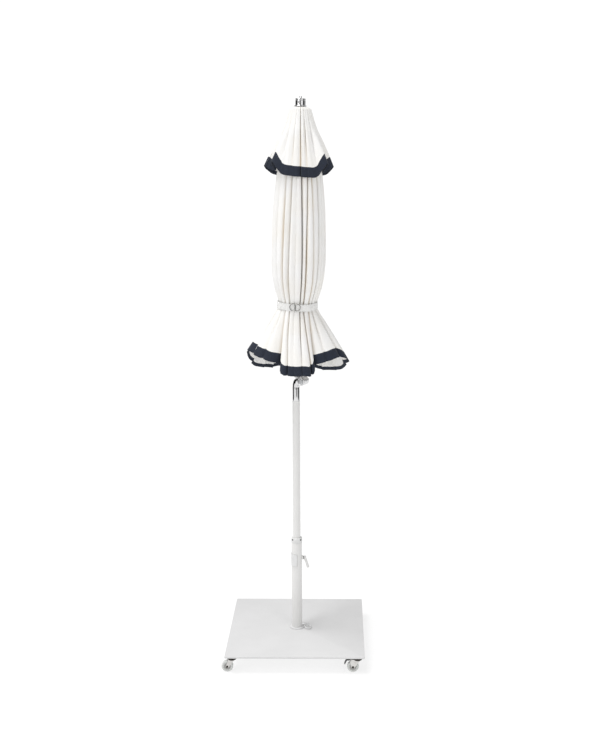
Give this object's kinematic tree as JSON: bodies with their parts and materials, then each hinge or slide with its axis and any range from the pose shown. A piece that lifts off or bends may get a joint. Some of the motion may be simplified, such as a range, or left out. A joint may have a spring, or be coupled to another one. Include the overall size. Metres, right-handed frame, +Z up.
{
  "type": "patio umbrella with base",
  "caption": "Furled two-tier patio umbrella on a slender tilting pole, held in a clamped stem on a thin square base plate with swivel casters.",
  "frame": {"origin": "on the ground, under the pole, at the middle of the base plate", "axes": "+Z up along the pole, -Y towards the front, +X to the right when seen from the front"},
  "size_m": [0.615, 0.6, 2.4119],
  "materials": {
    "plate_paint": "satin off-white powder coat",
    "pole_paint": "satin white powder coat",
    "frame_alloy": "white coated alloy",
    "white_plastic": "matte white",
    "label_plastic": "matte off-white",
    "dark_metal": "black oxide",
    "chrome": "polished",
    "zinc": "zinc plated",
    "rim_grey": "matte grey",
    "tyre_grey": "soft translucent grey",
    "canopy_cloth": "woven cream cloth with a navy hem",
    "strap_cloth": "woven white webbing"
  },
  "bodies": {
    "base": {"base_plate": "plate_paint", "foot_spigot": "plate_paint", "foot_bolt": "zinc", "stem_tube": "pole_paint", "stem_collar": "white_plastic", "collar_screw_left": "dark_metal", "collar_screw_right": "dark_metal", "info_plate": "label_plastic", "caster_front_left_mount": "chrome", "caster_front_right_mount": "chrome", "caster_rear_left_mount": "chrome", "caster_rear_right_mount": "chrome"},
    "clamp": {"clamp_handle": "pole_paint"},
    "lock_pin": {"lock_pin": "zinc"},
    "pull_ring": {"pull_ring": "zinc"},
    "pole": {"lower_pole": "pole_paint", "pole_foot_plug": "white_plastic", "tilt_socket": "chrome", "tilt_pin": "chrome"},
    "tilt_button": {"tilt_button": "dark_metal"},
    "canopy": {"tilt_head": "chrome", "upper_pole": "pole_paint", "top_hub": "white_plastic", "runner": "white_plastic", "finial": "chrome", "canopy_main": "canopy_cloth", "canopy_vent": "canopy_cloth", "tie_strap": "strap_cloth", "strap_ring_1": "zinc", "strap_ring_2": "zinc", "rib_1": "frame_alloy", "rib_2": "frame_alloy", "rib_3": "frame_alloy", "rib_4": "frame_alloy", "rib_5": "frame_alloy", "rib_6": "frame_alloy", "rib_7": "frame_alloy", "rib_8": "frame_alloy", "stretcher_1": "frame_alloy", "stretcher_2": "frame_alloy", "stretcher_3": "frame_alloy", "stretcher_4": "frame_alloy", "stretcher_5": "frame_alloy", "stretcher_6": "frame_alloy", "stretcher_7": "frame_alloy", "stretcher_8": "frame_alloy"},
    "caster_front_left": {"caster_front_left_fork": "chrome"},
    "wheel_front_left": {"caster_front_left_hub": "rim_grey", "caster_front_left_tyre": "tyre_grey"},
    "caster_front_right": {"caster_front_right_fork": "chrome"},
    "wheel_front_right": {"caster_front_right_hub": "rim_grey", "caster_front_right_tyre": "tyre_grey"},
    "pedal_front_right": {"caster_front_right_pedal": "dark_metal"},
    "caster_rear_left": {"caster_rear_left_fork": "chrome"},
    "wheel_rear_left": {"caster_rear_left_hub": "rim_grey", "caster_rear_left_tyre": "tyre_grey"},
    "pedal_rear_left": {"caster_rear_left_pedal": "dark_metal"},
    "caster_rear_right": {"caster_rear_right_fork": "chrome"},
    "wheel_rear_right": {"caster_rear_right_hub": "rim_grey", "caster_rear_right_tyre": "tyre_grey"}
  },
  "joints": [
    {"name": "clamp_turn", "type": "hinge", "parent": "base", "child": "clamp", "pos_m": [0.03, 0, 0.412], "axis": [1, 0, 0], "continuous": true},
    {"name": "lock_pin_pull", "type": "slide", "parent": "base", "child": "lock_pin", "axis": [0.9397, -0.342, 0], "range_m": [0, 0.05]},
    {"name": "pull_ring_swing", "type": "hinge", "parent": "lock_pin", "child": "pull_ring", "pos_m": [0.03477, -0.01265, 0.097], "axis": [-0.342, -0.9397, 0], "range_deg": [0, 110]},
    {"name": "pole_turn", "type": "hinge", "parent": "base", "child": "pole", "pos_m": [0, 0, 0.509], "axis": [0, 0, 1], "continuous": true},
    {"name": "tilt_button_press", "type": "slide", "parent": "pole", "child": "tilt_button", "axis": [0.5, 0.866, 0], "range_m": [0, 0.003], "stiffness_N_per_m": 800},
    {"name": "canopy_tilt", "type": "hinge", "parent": "pole", "child": "canopy", "pos_m": [0.03118, -0.018, 1.2253], "axis": [0.5, 0.866, 0], "range_deg": [0, 40]},
    {"name": "caster_front_left_swivel", "type": "hinge", "parent": "base", "child": "caster_front_left", "pos_m": [-0.27, -0.27, 0.072], "axis": [0, 0, 1], "continuous": true},
    {"name": "caster_front_left_roll", "type": "hinge", "parent": "caster_front_left", "child": "wheel_front_left", "pos_m": [-0.29, -0.27, 0.025], "axis": [0, 1, 0], "continuous": true},
    {"name": "caster_front_right_swivel", "type": "hinge", "parent": "base", "child": "caster_front_right", "pos_m": [0.27, -0.27, 0.072], "axis": [0, 0, 1], "continuous": true},
    {"name": "caster_front_right_roll", "type": "hinge", "parent": "caster_front_right", "child": "wheel_front_right", "pos_m": [0.25, -0.27, 0.025], "axis": [0, 1, 0], "continuous": true},
    {"name": "caster_front_right_brake", "type": "hinge", "parent": "caster_front_right", "child": "pedal_front_right", "pos_m": [0.24, -0.27, 0.056], "axis": [0, -1, 0], "range_deg": [0, 18]},
    {"name": "caster_rear_left_swivel", "type": "hinge", "parent": "base", "child": "caster_rear_left", "pos_m": [-0.27, 0.27, 0.072], "axis": [0, 0, 1], "continuous": true},
    {"name": "caster_rear_left_roll", "type": "hinge", "parent": "caster_rear_left", "child": "wheel_rear_left", "pos_m": [-0.25, 0.27, 0.025], "axis": [0, 1, 0], "continuous": true},
    {"name": "caster_rear_left_brake", "type": "hinge", "parent": "caster_rear_left", "child": "pedal_rear_left", "pos_m": [-0.24, 0.27, 0.056], "axis": [0, 1, 0], "range_deg": [0, 18]},
    {"name": "caster_rear_right_swivel", "type": "hinge", "parent": "base", "child": "caster_rear_right", "pos_m": [0.27, 0.27, 0.072], "axis": [0, 0, 1], "continuous": true},
    {"name": "caster_rear_right_roll", "type": "hinge", "parent": "caster_rear_right", "child": "wheel_rear_right", "pos_m": [0.25, 0.27, 0.025], "axis": [0, 1, 0], "continuous": true}
  ]
}
